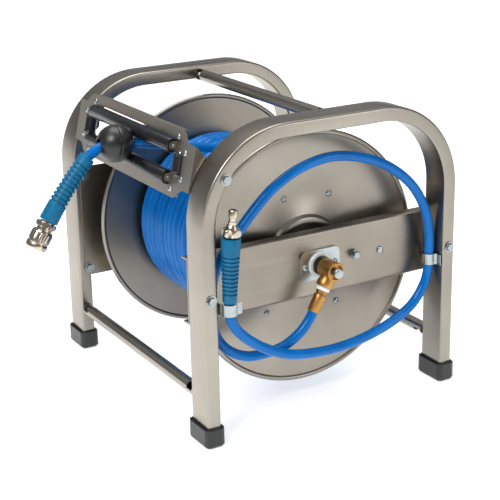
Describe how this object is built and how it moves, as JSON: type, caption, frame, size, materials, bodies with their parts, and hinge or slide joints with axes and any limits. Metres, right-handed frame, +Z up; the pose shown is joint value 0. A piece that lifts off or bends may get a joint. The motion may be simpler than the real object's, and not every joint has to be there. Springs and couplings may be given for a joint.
{
  "type": "spring-rewind air hose reel",
  "caption": "Open-frame hose reel: a sprung drum of blue air hose between tube hoops, with a roller guide, brass swivel, clipped-up supply hose and quick couplings.",
  "frame": {"origin": "on the floor, midway between the four feet", "axes": "+X along the drum's axis towards the swivel, +Y away from the hose outlet, +Z up"},
  "size_m": [0.4318, 0.5076, 0.38],
  "materials": {
    "tube_steel": "brushed, clear coated",
    "sheet_steel": "brushed, clear coated",
    "drum_steel": "bright rolled sheet",
    "zinc": "zinc plated",
    "brass": "satin, machined",
    "nickel": "nickel plated",
    "rubber": "matt",
    "black_plastic": "satin",
    "nylon": "satin",
    "hose": "glossy",
    "boot": "satin"
  },
  "bodies": {
    "frame": {"near_hoop": "tube_steel", "far_hoop": "tube_steel", "foot_near_front": "rubber", "foot_near_rear": "rubber", "foot_far_front": "rubber", "foot_far_rear": "rubber", "tie_rod_top": "tube_steel", "tie_rod_front": "tube_steel", "tie_rod_rear": "tube_steel", "near_crossbar": "sheet_steel", "far_plate": "sheet_steel", "crossbar_bolt_front": "zinc", "crossbar_bolt_rear": "zinc", "plate_bolt_front_low": "zinc", "plate_bolt_front_high": "zinc", "plate_bolt_rear_low": "zinc", "plate_bolt_rear_high": "zinc", "guide_bolt_far": "zinc", "guide_bolt_near": "zinc", "arbor": "zinc", "bearing_plate": "zinc", "bearing_bush": "nylon", "swivel_seal": "rubber", "swivel_elbow": "brass", "swivel_plug": "zinc", "hose_nipple": "brass", "hose_ferrule": "brass", "pawl_bolt": "zinc", "spring_anchor": "zinc", "pawl_spring": "zinc", "guide_frame": "sheet_steel", "upper_roller_pin": "zinc", "lower_roller_pin": "zinc", "far_side_roller_pin": "zinc", "near_side_roller_pin": "zinc", "outlet_hose": "hose", "supply_hose": "hose", "stop_ball": "rubber", "outlet_boot": "boot", "coupler_body": "nickel", "supply_boot": "boot", "hose_plug": "nickel", "rear_hose_clip": "zinc", "front_hose_clip": "zinc"},
    "drum": {"near_flange": "drum_steel", "far_flange": "drum_steel", "drum_core": "drum_steel", "hose_pack": "hose", "drum_hub": "zinc", "ratchet_wheel": "zinc", "spring_case": "drum_steel", "spring_cover": "drum_steel", "power_spring": "drum_steel", "far_bushing": "nylon"},
    "upper_roller": {"upper_roller": "black_plastic"},
    "lower_roller": {"lower_roller": "black_plastic"},
    "far_side_roller": {"far_side_roller": "black_plastic"},
    "near_side_roller": {"near_side_roller": "black_plastic"},
    "pawl": {"ratchet_pawl": "zinc"},
    "sleeve": {"coupler_sleeve": "nickel"}
  },
  "joints": [
    {"name": "drum_spin", "type": "hinge", "parent": "frame", "child": "drum", "pos_m": [0, 0, 0.185], "axis": [1, 0, 0], "continuous": true},
    {"name": "upper_roller_spin", "type": "hinge", "parent": "frame", "child": "upper_roller", "pos_m": [0, -0.16906, 0.34885], "axis": [1, 0, 0], "continuous": true},
    {"name": "lower_roller_spin", "type": "hinge", "parent": "frame", "child": "lower_roller", "pos_m": [0, -0.1776, 0.31243], "axis": [1, 0, 0], "continuous": true},
    {"name": "far_side_roller_spin", "type": "hinge", "parent": "frame", "child": "far_side_roller", "pos_m": [-0.123, -0.16914, 0.32966], "axis": [0, 0.2283, 0.9736], "continuous": true},
    {"name": "near_side_roller_spin", "type": "hinge", "parent": "frame", "child": "near_side_roller", "pos_m": [0.123, -0.16914, 0.32966], "axis": [0, 0.2283, 0.9736], "continuous": true},
    {"name": "pawl_swing", "type": "hinge", "parent": "frame", "child": "pawl", "pos_m": [0.1385, 0.053, 0.1875], "axis": [-1, 0, 0], "range_deg": [0, 40], "stiffness_Nm_per_rad": 0.05, "springref_deg": -5.73},
    {"name": "sleeve_slide", "type": "slide", "parent": "frame", "child": "sleeve", "axis": [0, 0.53, 0.848], "range_m": [0, 0.003], "stiffness_N_per_m": 1500, "springref_m": -0.002}
  ]
}
